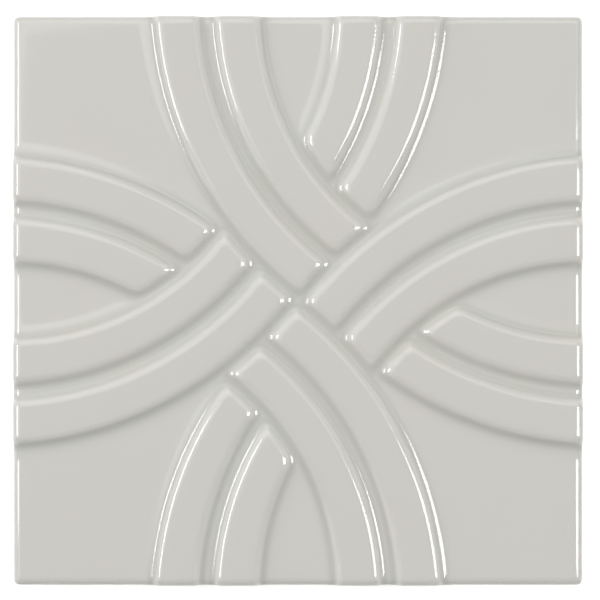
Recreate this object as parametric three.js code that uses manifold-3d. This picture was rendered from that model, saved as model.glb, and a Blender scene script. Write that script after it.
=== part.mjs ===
// A square relief wall tile in white glazed ceramic, lying on its flat back with its relief up.
// Sixteen raised bands, in pairs, curl in from the four sides to a pinwheel round the centre.
// Millimetres, +Z up. The origin is the middle of the back face.

import * as THREE from 'three';
import { mergeVertices } from 'three/addons/utils/BufferGeometryUtils.js';
import Module from 'manifold-3d';

// The plate

const tileSide = 200;
const fieldHeight = 7.3;
const cornerRadius = 1;
const rimWidth = 3;
const rimDrop = 2;
const backEdgeRadius = 0.6;

// The relief's wall: a round crest, a straight flank and a round foot. The crest's flat top
// starts this far inside the band's line.

const reliefHeight = 2.7;
const crestInset = 1.8;
const crestRadius = 3.2;
const footRadius = 8;
const flankSlope = THREE.MathUtils.degToRad(36.5);
const crestCornerRadius = 0.15;

// The bands of one side. The entry is measured along the side, from its middle to the first line.

const firstBandEntry = 14.3;
const bandWidth = 13.85;
const pairGap = 7.55;

// The circles that the bands' lines follow. Each centre lies this far along the side from its
// middle and at least this far beyond the side. Wider circles are centred further out, by this
// much for a millimetre, which narrows the bands towards the middle of the tile.

const arcCentreAlong = 81.5;
const arcCentreBeyond = 1.3;
const centreClimb = 0.173;

// The clear way between the end of a band and the band that it stops against

const channelWidth = 5.5;

// Steps in which round shapes are divided

const sideStep = THREE.MathUtils.degToRad(4.2);
const endSteps = 3;
const cornerSteps = 3;
const wallRoundSteps = 3;
const rimSteps = 3;

// How far the bands run out past the sides, and below the rim's round, before they are cut and
// joined to the plate

const overrun = 3;
const buriedBelowRim = 1;

const glazeColour = '#f1f0ea';
const glazeRoughness = 0.16;

const sides = 4;
const quarterTurn = Math.PI / 2;
const halfSide = tileSide / 2;
const topHeight = fieldHeight + reliefHeight;
const bandCornerRadius = crestInset + crestCornerRadius;

const wasm = await Module();
wasm.setup();

// A line that bounds a band is a circle. Its side is 1 where the band lies outside the circle
// and -1 where it lies inside, so a wall that stands back from the line by an inset has the
// circle's radius plus side times inset.

function boundary(x, y, radius, side) {
  return { centre: new THREE.Vector2(x, y), radius, side };
}

function insetRadius(ring, inset) {
  return ring.radius + ring.side * inset;
}

function angleFrom(centre, point) {
  return Math.atan2(point.y - centre.y, point.x - centre.x);
}

// Where two boundaries meet once both stand back by an inset: the crossing of the two circles
// that is nearer to the middle of the tile

function meeting(ringA, ringB, inset) {
  const radiusA = insetRadius(ringA, inset);
  const radiusB = insetRadius(ringB, inset);
  const way = ringB.centre.clone().sub(ringA.centre);
  const distance = way.length();
  way.normalize();
  const along = (radiusA ** 2 - radiusB ** 2 + distance ** 2) / (2 * distance);
  const across = Math.sqrt(radiusA ** 2 - along ** 2);
  const square = new THREE.Vector2(-way.y, way.x);
  const foot = ringA.centre.clone().addScaledVector(way, along);
  const crossings = [across, -across].map((step) => foot.clone().addScaledVector(square, step));
  return crossings[0].length() < crossings[1].length() ? crossings[0] : crossings[1];
}

// Points on an arc, the short way round, both ends included

function arcPoints(centre, radius, from, to, steps) {
  const fullTurn = 2 * Math.PI;
  const swing = THREE.MathUtils.euclideanModulo(to - from + Math.PI, fullTurn) - Math.PI;
  const points = [];
  for (let step = 0; step <= steps; step += 1) {
    const angle = from + (swing * step) / steps;
    const spoke = new THREE.Vector2(Math.cos(angle), Math.sin(angle));
    points.push(spoke.multiplyScalar(radius).add(centre));
  }
  return points;
}

// The outline of a band between its inner line, its outer line and its end, with its walls
// standing back by an inset. The inset is negative out on the foot.

function bandOutline(inner, outer, end, inset) {
  const outerCorner = meeting(outer, end, bandCornerRadius);
  const innerCorner = meeting(inner, end, bandCornerRadius);

  const sideArc = (ring, corner) => {
    const radius = insetRadius(ring, inset);
    const rise = Math.asin((halfSide + overrun - ring.centre.y) / radius);
    const from = ring.centre.x > 0 ? Math.PI - rise : rise;
    const to = angleFrom(ring.centre, corner);
    const drop = Math.asin((ring.centre.y - corner.y) / ring.centre.distanceTo(corner));
    return arcPoints(ring.centre, radius, from, to, Math.ceil(drop / sideStep));
  };
  const wallward = (ring, corner) => {
    const away = angleFrom(ring.centre, corner);
    return ring.side < 0 ? away : away + Math.PI;
  };
  const cornerArc = (corner, ringFrom, ringTo) => {
    const radius = bandCornerRadius - inset;
    const from = wallward(ringFrom, corner);
    const to = wallward(ringTo, corner);
    return arcPoints(corner, radius, from, to, cornerSteps).slice(1, -1);
  };
  const endArc = arcPoints(
    end.centre,
    insetRadius(end, inset),
    angleFrom(end.centre, outerCorner),
    angleFrom(end.centre, innerCorner),
    endSteps,
  );
  const points = [
    ...sideArc(outer, outerCorner),
    ...cornerArc(outerCorner, outer, end),
    ...endArc,
    ...cornerArc(innerCorner, end, inner),
    ...sideArc(inner, innerCorner).reverse(),
  ];
  return THREE.ShapeUtils.isClockWise(points) ? points.reverse() : points;
}

// A closed solid through outlines with as many points each, from the lowest up

function loft(layers) {
  const count = layers[0].outline.length;
  const position = [];
  for (const { outline, height } of layers) {
    for (const point of outline) position.push(point.x, point.y, height);
  }
  const index = [];
  for (let layer = 0; layer + 1 < layers.length; layer += 1) {
    for (let corner = 0; corner < count; corner += 1) {
      const low = layer * count + corner;
      const lowNext = layer * count + ((corner + 1) % count);
      index.push(low, lowNext, lowNext + count, low, lowNext + count, low + count);
    }
  }
  const topStart = (layers.length - 1) * count;
  for (const [a, b, c] of THREE.ShapeUtils.triangulateShape(layers[0].outline, [])) {
    index.push(a, c, b);
  }
  for (const [a, b, c] of THREE.ShapeUtils.triangulateShape(layers.at(-1).outline, [])) {
    index.push(topStart + a, topStart + b, topStart + c);
  }
  const geometry = new THREE.BufferGeometry();
  geometry.setAttribute('position', new THREE.Float32BufferAttribute(position, 3));
  geometry.setIndex(index);
  return geometry;
}

// The wall's section from the foot up, as how far it stands back from the band's line and how
// far it rises over the field. The two rounds give way where the relief is too low for them.

function wallSection() {
  const roundsRise = (crestRadius + footRadius) * (1 - Math.cos(flankSlope));
  const share = Math.min(1, reliefHeight / roundsRise);
  const crest = crestRadius * share;
  const foot = footRadius * share;
  const flankRun = (reliefHeight - roundsRise * share) / Math.tan(flankSlope);
  const footReach = (crest + foot) * Math.sin(flankSlope) + flankRun - crestInset;

  const slopes = [];
  for (let step = 0; step <= wallRoundSteps; step += 1) {
    slopes.push((flankSlope * step) / wallRoundSteps);
  }
  const footRound = slopes.map((slope) => ({
    inset: -footReach + foot * Math.sin(slope),
    rise: foot * (1 - Math.cos(slope)),
  }));
  const crestRound = slopes.reverse().map((slope) => ({
    inset: crestInset - crest * Math.sin(slope),
    rise: reliefHeight - crest * (1 - Math.cos(slope)),
  }));
  return [...footRound, ...crestRound];
}

// A band on a root that goes down into the plate

function band(inner, outer, end) {
  const section = wallSection();
  const rootOutline = bandOutline(inner, outer, end, section[0].inset);
  const rootHeight = fieldHeight - rimDrop - buriedBelowRim;
  const layers = section.map(({ inset, rise }) => ({
    outline: bandOutline(inner, outer, end, inset),
    height: fieldHeight + rise,
  }));
  return loft([{ outline: rootOutline, height: rootHeight }, ...layers]);
}

// The pattern of the top side. An over pair enters on the left of its middle and runs on past
// the centre of the tile. Its mirror image, the under pair, enters on the right.

function bandLine(entry) {
  const beyond = arcCentreBeyond + centreClimb * (entry - firstBandEntry);
  const radius = Math.hypot(arcCentreAlong + entry, beyond);
  return { x: arcCentreAlong, y: halfSide + beyond, radius };
}

function bandsOfTopSide() {
  const secondBandEntry = firstBandEntry + bandWidth + pairGap;
  const firstBand = [bandLine(firstBandEntry), bandLine(firstBandEntry + bandWidth)];
  const secondBand = [bandLine(secondBandEntry), bandLine(secondBandEntry + bandWidth)];

  // An over pair stops short of the next over pair, which is a quarter turn clockwise
  const passed = secondBand[1];
  const overEnd = boundary(passed.y, -passed.x, passed.radius + channelWidth, 1);

  // An under pair stops short of the over pair beside it
  const met = firstBand[0];
  const underEnd = boundary(met.x, met.y, met.radius - channelWidth, -1);

  const bands = [];
  for (const [near, far] of [firstBand, secondBand]) {
    for (const [hand, end] of [[1, overEnd], [-1, underEnd]]) {
      const inner = boundary(hand * near.x, near.y, near.radius, 1);
      const outer = boundary(hand * far.x, far.y, far.radius, -1);
      bands.push(band(inner, outer, end));
    }
  }
  return bands;
}

// A rounded square block of the tile's size, with a small round at its back edge and the rim's
// round at its top

function block(height) {
  const squareOutline = (inset) => {
    const reach = halfSide - inset - cornerRadius;
    const points = [];
    for (let side = 0; side < sides; side += 1) {
      const from = side * quarterTurn;
      const centre = new THREE.Vector2(reach, reach).rotateAround(new THREE.Vector2(), from);
      points.push(...arcPoints(centre, cornerRadius, from, from + quarterTurn, cornerSteps));
    }
    return points;
  };
  const backEdge = [];
  const rim = [];
  for (let step = 0; step <= rimSteps; step += 1) {
    const angle = (quarterTurn * step) / rimSteps;
    backEdge.push({
      outline: squareOutline(backEdgeRadius * (1 - Math.sin(angle))),
      height: backEdgeRadius * (1 - Math.cos(angle)),
    });
    rim.push({
      outline: squareOutline(rimWidth * (1 - Math.cos(angle))),
      height: height - rimDrop * (1 - Math.sin(angle)),
    });
  }
  return loft([...backEdge, ...rim]);
}

function solidOf(geometry) {
  const merged = mergeVertices(geometry);
  return new wasm.Manifold(new wasm.Mesh({
    numProp: 3,
    vertProperties: merged.attributes.position.array,
    triVerts: new Uint32Array(merged.index.array),
  }));
}

function geometryOf(solid) {
  const mesh = solid.getMesh();
  const geometry = new THREE.BufferGeometry();
  geometry.setAttribute('position', new THREE.BufferAttribute(mesh.vertProperties, 3));
  geometry.setIndex(new THREE.BufferAttribute(mesh.triVerts, 1));
  geometry.computeVertexNormals();
  return geometry;
}

// The plate up to its field, with every band that stays inside a block of the full height

function tileGeometry() {
  const fullBlock = solidOf(block(topHeight));
  let tile = solidOf(block(fieldHeight));
  for (const topSideBand of bandsOfTopSide()) {
    for (let side = 0; side < sides; side += 1) {
      const turned = topSideBand.clone().rotateZ(side * quarterTurn);
      tile = tile.add(solidOf(turned).intersect(fullBlock));
    }
  }
  return geometryOf(tile);
}

const glaze = new THREE.MeshStandardMaterial({
  color: glazeColour,
  roughness: glazeRoughness,
  metalness: 0,
});

const tile = new THREE.Mesh(tileGeometry(), glaze);
tile.name = 'tile';

const part = new THREE.Group();
part.add(tile);

export default part;
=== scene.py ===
"""A relief wall tile in glossy off-white glaze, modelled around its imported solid.

The pressed face, the rim, the sides and the back are one closed mesh. The tile lies on a pale
floor under soft studio light, and the camera looks straight down on it.
"""

import math
from collections import namedtuple

import bpy
import numpy as np
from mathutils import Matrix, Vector
from mathutils.geometry import delaunay_2d_cdt


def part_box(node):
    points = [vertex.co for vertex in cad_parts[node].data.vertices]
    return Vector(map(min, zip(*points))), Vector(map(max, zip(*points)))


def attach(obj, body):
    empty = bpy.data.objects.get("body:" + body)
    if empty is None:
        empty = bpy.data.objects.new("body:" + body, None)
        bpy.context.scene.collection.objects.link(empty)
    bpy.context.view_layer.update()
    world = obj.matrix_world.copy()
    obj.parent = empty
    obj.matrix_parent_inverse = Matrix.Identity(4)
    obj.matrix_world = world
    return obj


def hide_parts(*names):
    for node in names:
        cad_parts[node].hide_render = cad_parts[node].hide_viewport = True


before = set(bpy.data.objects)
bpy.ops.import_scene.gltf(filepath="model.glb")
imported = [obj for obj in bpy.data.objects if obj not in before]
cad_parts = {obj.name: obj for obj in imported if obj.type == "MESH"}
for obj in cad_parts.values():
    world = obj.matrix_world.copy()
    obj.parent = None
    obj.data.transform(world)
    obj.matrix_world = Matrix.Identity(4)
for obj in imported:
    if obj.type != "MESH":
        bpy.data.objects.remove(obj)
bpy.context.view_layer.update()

bl_info = {
    "name": "Relief wall tile",
    "version": (1, 0, 0),
    "blender": (4, 5, 0),
    "location": "3D View > Sidebar > Tile",
    "description": "Models a glazed relief wall tile around its packed solid, with a studio",
    "category": "Object",
}

MM = 0.001
TILE_NODE = "tile"
# The solid lies with the middle of its back on the origin, so its high corner gives its size
TILE_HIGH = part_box(TILE_NODE)[1]
SIDES = 4
QUARTER_TURN = math.pi / 2

# The higher this power, the squarer the plate's corners are as the rim goes round them
RIM_SQUARENESS = 3.5

# The lines of the mesh. A wall's lines are taken from the steps of its section, and go on
# outwards at shares of the way to the glaze fillet's end, and inwards past the crest inset.
SECTION_STEPS = 40
SECTION_STEPS_PER_LINE = 5
FILLET_LINES = (0.1, 0.22, 0.38, 0.56, 0.78, 1.0)
CREST_LINES = (0.35 * MM, 0.9 * MM)
DEPTH_DECIMALS = 6
RIM_STEPS = 10
CORNER_STEPS = 12
SIDE_ROWS = 5
BACK_EDGE_ROWS = 4
BACK_STEPS = 20

# Distances between the mesh's points
WALL_STATION = 1.6 * MM
RIM_STATION = 2.5 * MM
FLAT_STATION = 4.0 * MM
RIM_CLEARANCE = 0.4 * MM
WALL_CLEARANCE = 1.0 * MM
CLOSEST = 0.06 * MM

# What the triangulation gives back, and the distance in mm under which two points are one
ONLY_INSIDE_OUTLINE = 1
ONE_POINT = 1e-6

# Sizes in the glaze and the clay
# Mesh attribute that carries the painted highlight on the crests and the painted shade at the
# walls' feet
CREST_HIGHLIGHT_AND_FOOT_SHADE = "crest_highlight_and_foot_shade"
CLOUD_SIZE = 30 * MM
CLOUD_EDGE = (0.35, 0.65)
WAVE_LENGTH = 9 * MM
WAVE_HEIGHT = 0.005 * MM
CLAY_GRAIN = 0.5 * MM
CLAY_PIT_DEPTH = 0.03 * MM
GLAZE_LINE_WAVE = 14 * MM
GLAZE_LINE_BLUR = 0.15 * MM

# A mix node has sockets of the same name for each kind of data, so those for colours go by number
MIX_FIRST_COLOUR = 6
MIX_SECOND_COLOUR = 7
MIX_COLOUR = 2

# The floor lies a little under the back, so that the two don't share one plane
FLOOR_REACH = 3.0
FLOOR_DROP = 0.05 * MM
FLOOR_GLOW = 0.3

# A softbox faces the tile's middle. Its place and its width and height are in metres.
Softbox = namedtuple("Softbox", "name place size brightness")

SOFTBOXES = (
    # Two bright ones draw the fine lines of light along the walls that face them
    Softbox("left_softbox", (-1.2, 0.11, 1.1), (0.72, 0.3), 14.0),
    Softbox("right_softbox", (1.2, -0.07, 1.5), (0.55, 0.8), 12.5),
    # Three large and dim ones light the flats, and the walls that face the tile's upper side
    Softbox("top_softbox", (-0.98, 0.98, 2.88), (4.8, 1.39), 1.28),
    Softbox("upper_softbox", (-0.75, 1.01, 0.985), (2.4, 0.9), 0.88),
    Softbox("fill_softbox", (0.87, 0.78, 1.5), (1.1, 0.8), 1.05),
    # Two low ones do what the pale walls of a room do: they lift the flanks that face them
    Softbox("left_wall", (-1.5, 0.2, 0.45), (2.0, 0.5), 1.2),
    Softbox("right_wall", (1.5, 0.0, 0.45), (2.0, 0.5), 0.8),
)


def linear_channel(value):
    """One channel of an sRGB colour turned linear, by the standard's curve."""
    if value <= 0.04045:
        return value / 12.92
    return ((value + 0.055) / 1.055) ** 2.4


def linear(hex_colour):
    """The linear RGBA colour of an sRGB hex value such as '#f1f0ea'."""
    digits = hex_colour.lstrip("#")
    channels = [int(digits[start : start + 2], 16) / 255 for start in (0, 2, 4)]
    return (*map(linear_channel, channels), 1.0)


# Settings


class ReliefSizes(bpy.types.PropertyGroup):
    """Sizes of the pressed relief and of the plate's rounds"""

    relief_height: bpy.props.FloatProperty(
        name="Relief height", description="Rise of the bands over the field",
        default=2.7 * MM, unit="LENGTH", precision=5)
    glaze_fillet: bpy.props.FloatProperty(
        name="Glaze fillet", description="Part of the rise that the pooled glaze makes",
        default=1.2 * MM, unit="LENGTH", precision=5)
    fillet_reach: bpy.props.FloatProperty(
        name="Fillet reach", description="How far the pooled glaze runs out from a band's line",
        default=7.0 * MM, unit="LENGTH", precision=5)
    fillet_crest_reach: bpy.props.FloatProperty(
        name="Fillet crest reach", description="How far the soft crest runs in from a band's line",
        default=2.8 * MM, unit="LENGTH", precision=5)
    crest_inset: bpy.props.FloatProperty(
        name="Crest inset", description="From a band's line in to its flat top",
        default=1.6 * MM, unit="LENGTH", precision=5)
    crest_radius: bpy.props.FloatProperty(
        name="Crest radius", description="Round at the top of a band's wall",
        default=3.9 * MM, unit="LENGTH", precision=5)
    foot_radius: bpy.props.FloatProperty(
        name="Foot radius", description="Round at the foot of a band's wall",
        default=3.0 * MM, unit="LENGTH", precision=5)
    flank_slope: bpy.props.FloatProperty(
        name="Flank slope", description="Steepest slope of a band's pressed wall",
        default=math.radians(40), subtype="ANGLE")
    band_corner_softness: bpy.props.FloatProperty(
        name="Band corner softness", description="How far from a corner the glaze blunts it",
        default=3.2 * MM, unit="LENGTH", precision=5)
    first_band_entry: bpy.props.FloatProperty(
        name="First band entry", description="From the middle of a side to the first band",
        default=14.3 * MM, unit="LENGTH", precision=5)
    band_width: bpy.props.FloatProperty(
        name="Band width", description="Width of a band at the side",
        default=13.85 * MM, unit="LENGTH", precision=5)
    pair_gap: bpy.props.FloatProperty(
        name="Pair gap", description="Between the two bands of a pair at the side",
        default=7.55 * MM, unit="LENGTH", precision=5)
    channel_width: bpy.props.FloatProperty(
        name="Channel width", description="From a band's end to the band that it stops against",
        default=5.5 * MM, unit="LENGTH", precision=5)
    arc_centre_along: bpy.props.FloatProperty(
        name="Arc centre along", description="From the middle of a side to the arcs' centres",
        default=81.5 * MM, unit="LENGTH", precision=5)
    arc_centre_beyond: bpy.props.FloatProperty(
        name="Arc centre beyond", description="How far the first arc's centre is past the side",
        default=1.3 * MM, unit="LENGTH", precision=5)
    centre_climb: bpy.props.FloatProperty(
        name="Centre climb", description="Rise of an arc's centre for each unit of its entry",
        default=0.173)
    rim_width: bpy.props.FloatProperty(
        name="Rim width", description="How far the glazed rim's round reaches in",
        default=3.0 * MM, unit="LENGTH", precision=5)
    rim_drop: bpy.props.FloatProperty(
        name="Rim drop", description="How far the glazed rim's round goes down",
        default=2.0 * MM, unit="LENGTH", precision=5)
    back_edge_radius: bpy.props.FloatProperty(
        name="Back edge radius", description="Round of the edge of the back",
        default=0.6 * MM, unit="LENGTH", precision=5)


class Finish(bpy.types.PropertyGroup):
    """Colours of the glaze, body and floor; where the glaze ends; and the glaze's painted crest
    highlight and painted foot shade
    """

    glaze_colour: bpy.props.FloatVectorProperty(
        name="Glaze", description="Colour of the glaze on the flats", subtype="COLOR",
        size=4, min=0, max=1, default=linear("#cdccc7"))
    # Painted highlight: the glaze is painted lighter along the crests, where the light catches
    # them
    crest_highlight_colour: bpy.props.FloatVectorProperty(
        name="Thin glaze", description="Colour where the glaze runs thin on a crest",
        subtype="COLOR", size=4, min=0, max=1, default=linear("#d6d5cf"))
    # Painted shade: the glaze is painted darker and greyer along the walls' feet, where shade
    # falls in the crease
    foot_shade_colour: bpy.props.FloatVectorProperty(
        name="Pooled glaze", description="Colour where the glaze pools at a foot",
        subtype="COLOR", size=4, min=0, max=1, default=linear("#bebfb9"))
    # Where across a wall the painted crest highlight lies, and how wide it is
    crest_highlight_place: bpy.props.FloatProperty(
        name="Thin glaze place", description="From a band's line out to the thinnest glaze",
        default=0.1 * MM, unit="LENGTH", precision=5)
    crest_highlight_spread: bpy.props.FloatProperty(
        name="Thin glaze spread", description="How far to either side the thin glaze shows",
        default=0.8 * MM, unit="LENGTH", precision=5)
    # Where across a wall the painted foot shade lies, and how wide it is
    foot_shade_place: bpy.props.FloatProperty(
        name="Pooled glaze place", description="From a band's line out to the deepest glaze",
        default=2.2 * MM, unit="LENGTH", precision=5)
    foot_shade_spread: bpy.props.FloatProperty(
        name="Pooled glaze spread", description="How far to either side the pooled glaze shows",
        default=1.3 * MM, unit="LENGTH", precision=5)
    warm_glaze_tint: bpy.props.FloatVectorProperty(
        name="Warm glaze tint", description="Tint of the warmer clouds in the glaze",
        subtype="COLOR", size=4, min=0, max=1, default=linear("#fffefc"))
    body_colour: bpy.props.FloatVectorProperty(
        name="Fired body", description="Colour of the bare fired clay", subtype="COLOR",
        size=4, min=0, max=1, default=linear("#d8cfc2"))
    glaze_line: bpy.props.FloatProperty(
        name="Glaze line", description="Height over the back at which the glaze ends",
        default=3.0 * MM, unit="LENGTH", precision=5)
    glaze_line_wander: bpy.props.FloatProperty(
        name="Glaze line wander", description="How far the glaze's end strays up and down",
        default=1.2 * MM, unit="LENGTH", precision=5)
    floor_colour: bpy.props.FloatVectorProperty(
        name="Floor", description="Colour of the floor", subtype="COLOR",
        size=4, min=0, max=1, default=linear("#fbfbfb"))


class Studio(bpy.types.PropertyGroup):
    """Camera and light of the room"""

    camera_height: bpy.props.FloatProperty(
        name="Camera height", description="Camera over the floor",
        default=0.74, unit="LENGTH")
    frame_width: bpy.props.FloatProperty(
        name="Frame width", description="Width of the picture at the tile's face",
        default=210.0 * MM, unit="LENGTH", precision=5)
    camera_right: bpy.props.FloatProperty(
        name="Camera right", description="Camera to the right of the tile's middle",
        default=0.67 * MM, unit="LENGTH", precision=5)
    camera_up: bpy.props.FloatProperty(
        name="Camera up", description="Camera towards the tile's upper side from its middle",
        default=0.29 * MM, unit="LENGTH", precision=5)
    room_light: bpy.props.FloatProperty(
        name="Room light", description="Brightness of the light from all round", default=0.05)


# The relief. A boundary is a circle that a band follows or stops at. Its side is 1 where the
# band lies outside the circle and -1 where it lies inside.

Boundary = namedtuple("Boundary", "centre radius side")
Band = namedtuple("Band", "inner outer end")


def turned(point, quarter_turns):
    """A point, or an array of points, turned about the tile's middle."""
    angle = quarter_turns * QUARTER_TURN
    cos, sin = round(math.cos(angle)), round(math.sin(angle))
    return np.asarray(point) @ np.array([[cos, sin], [-sin, cos]], float)


def turned_band(band, quarter_turns):
    return Band(*(ring._replace(centre=turned(ring.centre, quarter_turns)) for ring in band))


def band_line(sizes, half_side, entry):
    """Centre and radius of the circle that crosses the top side at an entry."""
    beyond = sizes.arc_centre_beyond + sizes.centre_climb * (entry - sizes.first_band_entry)
    along = sizes.arc_centre_along
    return np.array([along, half_side + beyond]), math.hypot(along + entry, beyond)


def bands_of_top_side(sizes, half_side):
    """The over pair on the left of the top side's middle and the under pair on its right."""
    second = sizes.first_band_entry + sizes.band_width + sizes.pair_gap
    pair = [
        [band_line(sizes, half_side, start + width) for width in (0, sizes.band_width)]
        for start in (sizes.first_band_entry, second)
    ]
    passed_centre, passed_radius = pair[1][1]
    met_centre, met_radius = pair[0][0]
    over_end = Boundary(turned(passed_centre, -1), passed_radius + sizes.channel_width, 1)
    under_end = Boundary(met_centre, met_radius - sizes.channel_width, -1)
    bands = []
    for (near_centre, near_radius), (far_centre, far_radius) in pair:
        for hand, end in ((1, over_end), (-1, under_end)):
            mirror = np.array([hand, 1])
            inner = Boundary(near_centre * mirror, near_radius, 1)
            outer = Boundary(far_centre * mirror, far_radius, -1)
            bands.append(Band(inner, outer, end))
    return bands


def meeting(ring_a, ring_b, depth_a, depth_b):
    """The point near the tile's middle that lies at given depths inside two boundaries."""
    radius_a = ring_a.radius + ring_a.side * depth_a
    radius_b = ring_b.radius + ring_b.side * depth_b
    way = ring_b.centre - ring_a.centre
    distance = np.hypot(*way)
    way = way / distance
    along = (radius_a**2 - radius_b**2 + distance**2) / (2 * distance)
    across = math.sqrt(radius_a**2 - along**2)
    foot = ring_a.centre + way * along
    square = np.array([-way[1], way[0]])
    crossings = (foot + square * across, foot - square * across)
    return min(crossings, key=lambda point: np.hypot(*point))


def depth_in_band(band, corner_softness, points):
    """How far each point lies inside a band's line, negative outside it."""
    inner, outer, end = (
        ring.side * (np.hypot(*(points - ring.centre).T) - ring.radius) for ring in band
    )
    long_side = np.minimum(inner, outer)
    # The glaze blunts the corners, where the depth from the side and from the end are alike
    alike = np.maximum(0, 1 - np.abs(long_side - end) / corner_softness)
    return np.minimum(long_side, end) - corner_softness / 4 * alike**2


def wall_section(sizes):
    """The pressed wall as two arrays: the depth inside the line, and the rise over the field."""
    height = sizes.relief_height - sizes.glaze_fillet
    slope = sizes.flank_slope
    rounds_rise = (sizes.crest_radius + sizes.foot_radius) * (1 - math.cos(slope))
    # A wall too low for its rounds gets smaller ones and no flank
    share = min(1, height / rounds_rise)
    crest, foot = sizes.crest_radius * share, sizes.foot_radius * share
    flank_run = (height - rounds_rise * share) / math.tan(slope)
    reach = (crest + foot) * math.sin(slope) + flank_run - sizes.crest_inset
    slopes = np.linspace(0, slope, SECTION_STEPS)
    foot_depth = -reach + foot * np.sin(slopes)
    foot_rise = foot * (1 - np.cos(slopes))
    crest_depth = sizes.crest_inset - crest * np.sin(slopes[::-1])
    crest_rise = height - crest * (1 - np.cos(slopes[::-1]))
    return np.concatenate([foot_depth, crest_depth]), np.concatenate([foot_rise, crest_rise])


def smoothstep(share):
    """0 at or under a share of 0, 1 at or over a share of 1, and a soft rise between."""
    share = np.clip(share, 0, 1)
    return share**2 * (3 - 2 * share)


class Relief:
    """The bands, and the face's height at any point."""

    def __init__(self, sizes):
        self.sizes = sizes
        self.half_side = TILE_HIGH.x
        self.field = TILE_HIGH.z - sizes.relief_height
        self.top_bands = bands_of_top_side(sizes, self.half_side)
        self.bands = [
            turned_band(band, turn) for turn in range(SIDES) for band in self.top_bands
        ]
        self.section = wall_section(sizes)

    def depths(self, points):
        """How far each point lies inside each band's line: a row for each band."""
        softness = self.sizes.band_corner_softness
        return np.array([depth_in_band(band, softness, points) for band in self.bands])

    def deepest(self, points):
        """How far each point lies inside the line of the band that it is nearest to."""
        return self.depths(points).max(axis=0)

    def rim_depth(self, points):
        """How far a point lies in from the plate's outline, up to the rim's width."""
        width = self.sizes.rim_width
        over = np.maximum(0, np.abs(points) - (self.half_side - width))
        blunt = (over**RIM_SQUARENESS).sum(axis=1) ** (1 / RIM_SQUARENESS)
        return np.clip(width - blunt, 0, width)

    def height(self, points):
        """Height of the face over the back."""
        sizes = self.sizes
        depths = self.depths(points)
        wall = np.interp(depths, *self.section)
        fillet_run = sizes.fillet_reach + sizes.fillet_crest_reach
        fillet = sizes.glaze_fillet * smoothstep((depths + sizes.fillet_reach) / fillet_run)
        # The glaze of two walls that meet over a narrow way runs together in one curve
        relief = np.minimum(np.hypot.reduce(wall + fillet), sizes.relief_height)
        rim = 1 - self.rim_depth(points) / sizes.rim_width
        drop = sizes.rim_drop * (1 - np.sqrt(np.maximum(0, 1 - rim**2)))
        return self.field + relief - drop


# The mesh


def level_depths(relief):
    """Depths at which the walls get a line of vertices, the outermost first."""
    sizes = relief.sizes
    depth, _ = relief.section
    wall = [*depth[::SECTION_STEPS_PER_LINE], depth[-1]]
    reach = -depth[0]
    fillet = reach + (sizes.fillet_reach - reach) * np.array(FILLET_LINES)
    crest = sizes.crest_inset + np.array(CREST_LINES)
    return np.unique(np.round(np.concatenate([wall, -fillet, crest]), DEPTH_DECIMALS))


def angle_from(centre, point):
    return math.atan2(point[1] - centre[1], point[0] - centre[0])


def boundary_line(ring, depth, start, stop):
    """Points at one depth inside a boundary, from one direction to another the shorter way."""
    turn = (stop - start + math.pi) % (2 * math.pi) - math.pi
    steps = math.ceil(abs(turn) * ring.radius / WALL_STATION)
    angles = start + turn * np.linspace(0, 1, steps + 1)
    radius = ring.radius + ring.side * depth
    return ring.centre + radius * np.stack([np.cos(angles), np.sin(angles)], axis=1)


def corner_line(ring, end, softness, depth):
    """Points at one depth round the corner between a band's long side and its end."""
    # On the way round, the depth from the side grows as the depth from the end falls
    lean = np.linspace(-softness / 2, softness / 2, CORNER_STEPS + 1)
    mean_depth = depth + softness / 4 + lean**2 / softness
    return np.array([
        meeting(ring, end, from_side, from_end)
        for from_side, from_end in zip(mean_depth + lean, mean_depth - lean)
    ])


def level_line(relief, band, depth):
    """Points at one depth round a band of the top side."""
    softness = relief.sizes.band_corner_softness
    lines = []
    end_angles = []
    for ring in (band.outer, band.inner):
        corner = corner_line(ring, band.end, softness, depth)
        at_side = math.pi if ring.centre[0] > 0 else 0
        at_corner = angle_from(ring.centre, corner[0])
        lines += [boundary_line(ring, depth, at_side, at_corner), corner]
        end_angles.append(angle_from(band.end.centre, corner[-1]))
    lines.append(boundary_line(band.end, depth, *end_angles))
    return np.concatenate(lines)


def nearest_only(relief, points, own_depths):
    """Drops the points that lie nearer to another band than to the one they follow."""
    return points[relief.deepest(points) < own_depths + CLOSEST]


def side_crossings(ring, levels, across):
    """Where a boundary's levels cross a line that runs along the top side."""
    reach = ring.radius + ring.side * levels
    run = np.sqrt(reach**2 - (across - ring.centre[1]) ** 2)
    return ring.centre[0] - np.sign(ring.centre[0]) * run


def points_along(places, across):
    return np.stack([places, np.full(len(places), across)], axis=1)


def rim_points(relief, levels):
    """Points in the top side's rim, on lines that follow the side, with the walls' levels."""
    width, half_side = relief.sizes.rim_width, relief.half_side
    straight = half_side - width
    spread = np.arange(-straight, straight + RIM_STATION / 2, RIM_STATION)
    spread = np.clip(spread, -straight, straight)
    rings = [ring for band in relief.top_bands for ring in (band.inner, band.outer)]
    own_depths = np.tile(levels, len(rings))
    corner_angles = np.linspace(0, QUARTER_TURN, CORNER_STEPS + 1)[:-1]
    corner_power = 2 / RIM_SQUARENESS
    lines = []
    for angle in np.linspace(0, QUARTER_TURN, RIM_STEPS + 1):
        inset = width * (1 - np.cos(angle))
        across = half_side - inset
        plain = points_along(spread, across)
        depth = relief.deepest(plain)
        lines.append(plain[(depth < levels[0]) | (depth > levels[-1])])
        crossings = [side_crossings(ring, levels, across) for ring in rings]
        walls = points_along(np.concatenate(crossings), across)
        lines.append(nearest_only(relief, walls, own_depths))
        blunt = width - inset
        if blunt > 0:
            corner = np.stack([np.cos(corner_angles), np.sin(corner_angles)], axis=1)
            lines.append(straight + blunt * corner**corner_power)
    return np.concatenate(lines)


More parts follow.
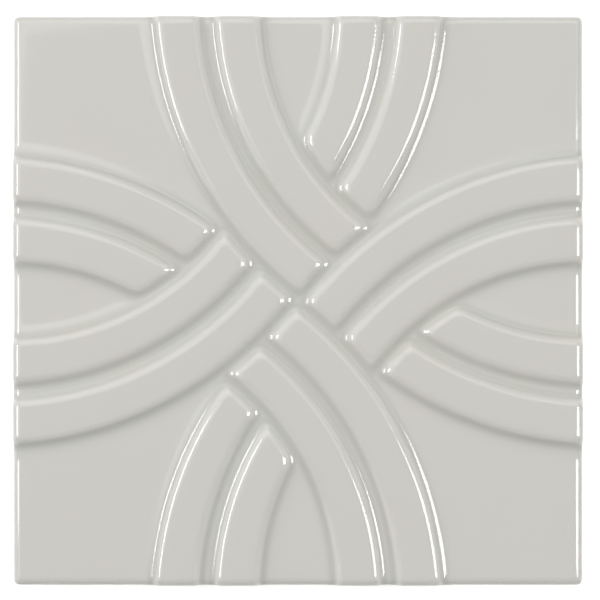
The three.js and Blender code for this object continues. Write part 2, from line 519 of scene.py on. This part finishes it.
def flat_points(relief, levels, inner):
    """Staggered rows of points over the flats, clear of the walls' lines."""
    steps = np.arange(-inner, inner, FLAT_STATION)
    grid = np.stack(np.meshgrid(steps, steps), axis=-1).reshape(-1, 2)
    in_odd_row = np.round(grid[:, 1] / FLAT_STATION) % 2
    grid[:, 0] += np.where(in_odd_row, FLAT_STATION / 2, 0)
    grid = grid[np.abs(grid).max(axis=1) < inner - FLAT_STATION / 3]
    depth = relief.deepest(grid)
    return grid[(depth < levels[0] - WALL_CLEARANCE) | (depth > levels[-1] + WALL_CLEARANCE)]


def face_points(relief, levels):
    """All the face's points, the rim included."""
    inner = relief.half_side - relief.sizes.rim_width - RIM_CLEARANCE
    lines = []
    for band in relief.top_bands:
        for depth in levels:
            line = level_line(relief, band, depth)
            line = line[np.abs(line).max(axis=1) < inner]
            lines.append(nearest_only(relief, line, depth))
    quarter = np.concatenate([*lines, rim_points(relief, levels)])
    whole = [turned(quarter, turn) for turn in range(SIDES)]
    points = np.concatenate([*whole, flat_points(relief, levels, inner)])
    _, first = np.unique(np.round(points / CLOSEST), axis=0, return_index=True)
    return points[np.sort(first)]


def outline_of(relief, points):
    """Numbers of the points on the plate's outline, anticlockwise."""
    on_edge = np.flatnonzero(relief.rim_depth(points) < CLOSEST / 4)
    angles = np.arctan2(points[on_edge, 1], points[on_edge, 0])
    return on_edge[np.argsort(angles)]


def triangulated(points, outline):
    """Delaunay triangles of the points inside a closed outline given by point numbers."""
    coordinates = [Vector(point) for point in points / MM]
    outline = [int(number) for number in outline]
    result = delaunay_2d_cdt(coordinates, [], [outline], ONLY_INSIDE_OUTLINE, ONE_POINT)
    _, _, faces, origins = result[:4]
    if not all(origins):
        raise RuntimeError("The tile's outline crosses itself")
    return [tuple(origins[corner][0] for corner in face) for face in faces]


def side_rows(relief, edge):
    """Rows of points that go down the sides from the rim and round the edge of the back."""
    back_radius = relief.sizes.back_edge_radius
    rows = []
    for share in np.linspace(0, 1, SIDE_ROWS + 1)[1:]:
        row = edge.copy()
        row[:, 2] = edge[:, 2] * (1 - share) + back_radius * share
        rows.append(row)
    for angle in np.linspace(0, QUARTER_TURN, BACK_EDGE_ROWS + 1)[1:]:
        row = edge.copy()
        row[:, :2] *= 1 - back_radius * (1 - math.cos(angle)) / relief.half_side
        row[:, 2] = back_radius * (1 - math.sin(angle))
        rows.append(row)
    return rows


def tile_mesh(relief):
    """Vertices and faces of the closed tile: its face, its sides and its flat back."""
    levels = level_depths(relief)
    points = face_points(relief, levels)
    outline = outline_of(relief, points)
    face_vertices = np.column_stack([points, relief.height(points)])
    faces = triangulated(points, outline)

    rows = side_rows(relief, face_vertices[outline])
    count = len(outline)
    above = list(outline)
    start = len(points)
    for _ in rows:
        below = list(range(start, start + count))
        for corner in range(count):
            following = (corner + 1) % count
            faces.append((above[corner], below[corner], below[following], above[following]))
        above = below
        start += count

    steps = np.linspace(-1, 1, BACK_STEPS + 1)[1:-1] * relief.half_side
    grid = np.stack(np.meshgrid(steps, steps), axis=-1).reshape(-1, 2)
    back_vertices = np.column_stack([grid, np.zeros(len(grid))])
    back_points = np.concatenate([rows[-1][:, :2], grid])
    first_back = start - count
    for face in triangulated(back_points, range(count)):
        faces.append(tuple(first_back + corner for corner in reversed(face)))
    return np.concatenate([face_vertices, *rows, back_vertices]), faces


def bell(depths, middle, spread):
    """1 at the middle, and less and less to either side."""
    return np.exp(-(((depths - middle) / spread) ** 2))


def build_tile(context):
    finish = context.scene.finish
    relief = Relief(context.scene.relief_sizes)
    vertices, faces = tile_mesh(relief)
    mesh = bpy.data.meshes.new("glazed_relief_tile")
    mesh.from_pydata(vertices.tolist(), [], faces)
    if mesh.validate():
        raise RuntimeError("The tile's mesh has faults")
    mesh.shade_smooth()
    # Painted light in the glaze colour: 1 for painted shade at a wall's foot, -1 for a painted
    # highlight on a crest, 0 on the flats
    deepest = relief.deepest(vertices[:, :2])
    foot_shade = bell(deepest, -finish.foot_shade_place, finish.foot_shade_spread)
    crest_highlight = bell(deepest, -finish.crest_highlight_place, finish.crest_highlight_spread)
    attribute = mesh.attributes.new(CREST_HIGHLIGHT_AND_FOOT_SHADE, "FLOAT", "POINT")
    attribute.data.foreach_set("value", (foot_shade - crest_highlight).astype(np.float32))
    tile = bpy.data.objects.new("relief_tile", mesh)
    context.scene.collection.objects.link(tile)
    tile.data.materials.append(glazed_earthenware(finish))
    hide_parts(TILE_NODE)
    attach(tile, "root")


# Materials


def add_node(tree, kind, settings=None, links=None):
    """Adds a node with its settings and its linked inputs, which go by name or number."""
    node = tree.nodes.new(kind)
    for name, value in (settings or {}).items():
        if name in node.inputs:
            node.inputs[name].default_value = value
        else:
            setattr(node, name, value)
    for name, source in (links or {}).items():
        tree.links.new(source, node.inputs[name])
    return node


def empty_material(name):
    material = bpy.data.materials.new(name)
    material.use_nodes = True
    tree = material.node_tree
    tree.nodes.clear()
    return material, tree


def glaze_shader(tree, place, finish):
    """Gloss glaze. It melts and levels in the kiln to a wet shine with slow waves. Its colour has
    a painted highlight, lighter over the crests, and painted shade, a little greyer at their feet."""
    # The painted highlight and painted shade come in from the mesh's attribute and pick the
    # glaze's tone
    depth = add_node(tree, "ShaderNodeAttribute", {"attribute_name": CREST_HIGHLIGHT_AND_FOOT_SHADE})
    ramp = add_node(tree, "ShaderNodeMapRange", {"From Min": -1.0, "From Max": 1.0},
                    {"Value": depth.outputs["Fac"]})
    tones = add_node(tree, "ShaderNodeValToRGB", links={"Fac": ramp.outputs["Result"]})
    tones.color_ramp.elements[0].color = finish.crest_highlight_colour
    tones.color_ramp.elements[1].color = finish.foot_shade_colour
    tones.color_ramp.elements.new(0.5).color = finish.glaze_colour
    clouds = add_node(tree, "ShaderNodeTexNoise", {"Scale": 1 / CLOUD_SIZE, "Detail": 2.0},
                      {"Vector": place})
    cloud_low, cloud_high = CLOUD_EDGE
    warmth = add_node(tree, "ShaderNodeMapRange", {"From Min": cloud_low, "From Max": cloud_high},
                      {"Value": clouds.outputs["Fac"]})
    colour = add_node(tree, "ShaderNodeMix", {"data_type": "RGBA", "blend_type": "MULTIPLY"},
                      {"Factor": warmth.outputs["Result"],
                       MIX_FIRST_COLOUR: tones.outputs["Color"]})
    colour.inputs[MIX_SECOND_COLOUR].default_value = finish.warm_glaze_tint
    waves = add_node(tree, "ShaderNodeTexNoise", {"Scale": 1 / WAVE_LENGTH, "Detail": 2.0},
                     {"Vector": place})
    surface = add_node(tree, "ShaderNodeBump", {"Strength": 1.0, "Distance": WAVE_HEIGHT},
                       {"Height": waves.outputs["Fac"]})
    return add_node(tree, "ShaderNodeBsdfPrincipled", {"Roughness": 0.08, "IOR": 1.58},
                    {"Base Color": colour.outputs[MIX_COLOUR],
                     "Normal": surface.outputs["Normal"]})


def bare_clay_shader(tree, place, finish):
    """Pressed and fired clay without glaze, which is matt and finely pitted."""
    grain = add_node(tree, "ShaderNodeTexNoise", {"Scale": 1 / CLAY_GRAIN, "Detail": 3.0},
                     {"Vector": place})
    pits = add_node(tree, "ShaderNodeBump", {"Strength": 1.0, "Distance": CLAY_PIT_DEPTH},
                    {"Height": grain.outputs["Fac"]})
    return add_node(tree, "ShaderNodeBsdfPrincipled",
                    {"Base Color": finish.body_colour, "Roughness": 0.9},
                    {"Normal": pits.outputs["Normal"]})


def glaze_cover(tree, place, finish):
    """1 where the glaze lies and 0 on bare clay. It ends low on the sides, in a line that strays
    as it was wiped, because the tile stood in the kiln on its bare back."""
    height = add_node(tree, "ShaderNodeSeparateXYZ", links={"Vector": place})
    stray = add_node(tree, "ShaderNodeTexNoise", {"Scale": 1 / GLAZE_LINE_WAVE, "Detail": 2.0},
                     {"Vector": place})
    lowest = finish.glaze_line - finish.glaze_line_wander
    highest = finish.glaze_line + finish.glaze_line_wander
    line = add_node(tree, "ShaderNodeMapRange", {"To Min": lowest, "To Max": highest},
                    {"Value": stray.outputs["Fac"]})
    over_line = add_node(tree, "ShaderNodeMath", {"operation": "SUBTRACT"},
                         {0: height.outputs["Z"], 1: line.outputs["Result"]})
    cover = add_node(tree, "ShaderNodeMapRange", {
        "interpolation_type": "SMOOTHSTEP",
        "From Min": -GLAZE_LINE_BLUR, "From Max": GLAZE_LINE_BLUR,
    }, {"Value": over_line.outputs["Value"]})
    return cover.outputs["Result"]


def glazed_earthenware(finish):
    """Pressed earthenware, fired: gloss glaze over its face and sides, bare clay on its back."""
    material, tree = empty_material("glazed_earthenware")
    coordinates = add_node(tree, "ShaderNodeTexCoord")
    place = coordinates.outputs["Object"]
    clay = bare_clay_shader(tree, place, finish)
    glaze = glaze_shader(tree, place, finish)
    surface = add_node(tree, "ShaderNodeMixShader", links={
        "Fac": glaze_cover(tree, place, finish),
        1: clay.outputs["BSDF"], 2: glaze.outputs["BSDF"],
    })
    add_node(tree, "ShaderNodeOutputMaterial", links={"Surface": surface.outputs["Shader"]})
    return material


def painted_board(finish):
    """Board in matt white paint, rolled on, which gives an even pale ground without a shine. A
    faint glow of its own keeps it white up to the tile's edge."""
    material, tree = empty_material("painted_board")
    shader = add_node(tree, "ShaderNodeBsdfPrincipled", {
        "Base Color": finish.floor_colour, "Roughness": 0.9, "Specular IOR Level": 0.0,
        "Emission Color": finish.floor_colour, "Emission Strength": FLOOR_GLOW,
    })
    add_node(tree, "ShaderNodeOutputMaterial", links={"Surface": shader.outputs["BSDF"]})
    return material


# The stage


def build_floor(context):
    reach = FLOOR_REACH
    corners = [(-reach, -reach, 0), (reach, -reach, 0), (reach, reach, 0), (-reach, reach, 0)]
    mesh = bpy.data.meshes.new("floor")
    mesh.from_pydata(corners, [], [(0, 1, 2, 3)])
    floor = bpy.data.objects.new("floor", mesh)
    floor.data.materials.append(painted_board(context.scene.finish))
    floor.location.z = -FLOOR_DROP
    context.scene.collection.objects.link(floor)


def add_softbox(context, softbox):
    """A rectangular light, equally bright all over, that faces the tile's middle."""
    width, height = softbox.size
    data = bpy.data.lights.new(softbox.name, "AREA")
    data.shape = "RECTANGLE"
    data.size = width
    data.size_y = height
    data.energy = softbox.brightness * math.pi * width * height
    light = bpy.data.objects.new(softbox.name, data)
    light.location = softbox.place
    light.rotation_euler = (-Vector(softbox.place)).to_track_quat("-Z", "Y").to_euler()
    context.scene.collection.objects.link(light)


def build_lights(context):
    world = bpy.data.worlds.new("room")
    context.scene.world = world
    world.use_nodes = True
    background = world.node_tree.nodes["Background"]
    background.inputs["Color"].default_value = (1, 1, 1, 1)
    background.inputs["Strength"].default_value = context.scene.studio.room_light
    for softbox in SOFTBOXES:
        add_softbox(context, softbox)


def build_camera(context):
    studio = context.scene.studio
    data = bpy.data.cameras.new("camera")
    distance = studio.camera_height - TILE_HIGH.z
    data.sensor_fit = "HORIZONTAL"
    data.lens = data.sensor_width * distance / studio.frame_width
    camera = bpy.data.objects.new("camera", data)
    camera.location = (studio.camera_right, studio.camera_up, studio.camera_height)
    context.scene.collection.objects.link(camera)
    context.scene.camera = camera
    # The plain view keeps the colours as the finish gives them
    context.scene.view_settings.view_transform = "Standard"


# Operators and panel


class TILE_OT_model_tile(bpy.types.Operator):
    """Model the glazed relief tile in place of its plain solid"""

    bl_idname = "tile.model_tile"
    bl_label = "Model tile"

    def execute(self, context):
        build_tile(context)
        return {"FINISHED"}


class TILE_OT_set_stage(bpy.types.Operator):
    """Lay the floor, light the tile and look straight down on it"""

    bl_idname = "tile.set_stage"
    bl_label = "Set stage"

    def execute(self, context):
        build_floor(context)
        build_lights(context)
        build_camera(context)
        return {"FINISHED"}


OPERATORS = (TILE_OT_model_tile, TILE_OT_set_stage)


class TILE_PT_sidebar(bpy.types.Panel):
    """The tile's steps, in order"""

    bl_idname = "TILE_PT_sidebar"
    bl_label = "Relief wall tile"
    bl_space_type = "VIEW_3D"
    bl_region_type = "UI"
    bl_category = "Tile"

    def draw(self, context):
        for operator in OPERATORS:
            self.layout.operator(operator.bl_idname)
        for settings in (context.scene.relief_sizes, context.scene.finish, context.scene.studio):
            box = self.layout.box()
            for name in settings.__annotations__:
                box.prop(settings, name)


SETTINGS = {"relief_sizes": ReliefSizes, "finish": Finish, "studio": Studio}
CLASSES = (*SETTINGS.values(), *OPERATORS, TILE_PT_sidebar)


def register():
    for cls in CLASSES:
        bpy.utils.register_class(cls)
    for name, group in SETTINGS.items():
        setattr(bpy.types.Scene, name, bpy.props.PointerProperty(type=group))


def unregister():
    for name in SETTINGS:
        delattr(bpy.types.Scene, name)
    for cls in reversed(CLASSES):
        bpy.utils.unregister_class(cls)


def main():
    register()
    bpy.ops.tile.model_tile()
    bpy.ops.tile.set_stage()


if __name__ == "__main__":
    main()
